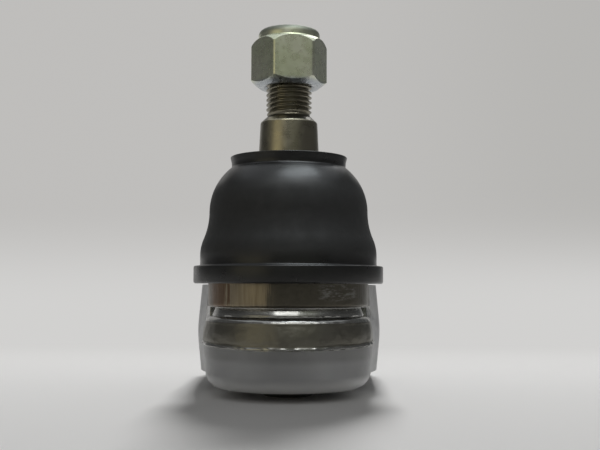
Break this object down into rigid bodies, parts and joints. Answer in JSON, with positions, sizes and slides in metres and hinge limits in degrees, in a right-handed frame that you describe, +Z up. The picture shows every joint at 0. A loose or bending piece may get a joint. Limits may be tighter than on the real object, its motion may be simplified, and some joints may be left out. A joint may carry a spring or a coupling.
{
  "type": "suspension ball joint",
  "caption": "Suspension ball joint with a forged bolt-on housing, a spring-loaded ball stud with a taper and lock nut, and a rubber dust boot.",
  "frame": {"origin": "centre of the flat face of the end cover's boss, on the stud's axis", "axes": "+Z up the stud's axis at rest, +Y from the stud's axis along the mounting arm, +X to the right seen from the round front of the housing"},
  "size_m": [0.062, 0.1042, 0.1113],
  "materials": {
    "forged_steel": "as-forged, oiled, with a turned neck",
    "cover_steel": "pressed steel, dull",
    "stud_steel": "ground and oiled, dark",
    "spring_steel": "tempered spring steel",
    "zinc_steel": "zinc plated, satin",
    "ring_steel": "plain steel",
    "bearing_plastic": "moulded acetal",
    "nylon": "moulded nylon",
    "boot_rubber": "satin black rubber"
  },
  "bodies": {
    "housing": {"housing": "forged_steel", "end_cover": "cover_steel", "preload_spring": "spring_steel", "pressure_pad": "bearing_plastic", "ball_seat": "bearing_plastic", "boot_base_ring": "ring_steel"},
    "boot": {"dust_boot": "boot_rubber"},
    "boot_collar": {"boot_top_ring": "ring_steel"},
    "stud": {"ball_stud": "stud_steel"},
    "nut_carriage": {"nylon_insert": "nylon"},
    "nut": {"lock_nut": "zinc_steel"}
  },
  "joints": [
    {"name": "swing_x", "type": "hinge", "parent": "housing", "child": "boot", "pos_m": [0, 0, 0.024], "axis": [1, 0, 0], "range_deg": [-16, 16], "deforming": ["dust_boot"]},
    {"name": "swing_y", "type": "hinge", "parent": "boot", "child": "boot_collar", "pos_m": [0, 0, 0.024], "axis": [0, 1, 0], "range_deg": [-16, 16]},
    {"name": "stud_spin", "type": "hinge", "parent": "boot_collar", "child": "stud", "pos_m": [0, 0, 0.024], "axis": [0, 0, 1], "continuous": true},
    {"name": "nut_travel", "type": "slide", "parent": "stud", "child": "nut_carriage", "axis": [0, 0, 1], "range_m": [-0.00901, 0.01126]},
    {"name": "nut_turn", "type": "hinge", "parent": "nut_carriage", "child": "nut", "pos_m": [0, 0, 0.1025], "axis": [0, 0, 1], "range_deg": [-2160, 2700]}
  ],
  "couplings": [
    {"joint": "nut_travel", "follows": "nut_turn", "m_per_rad": 0.00023873}
  ]
}
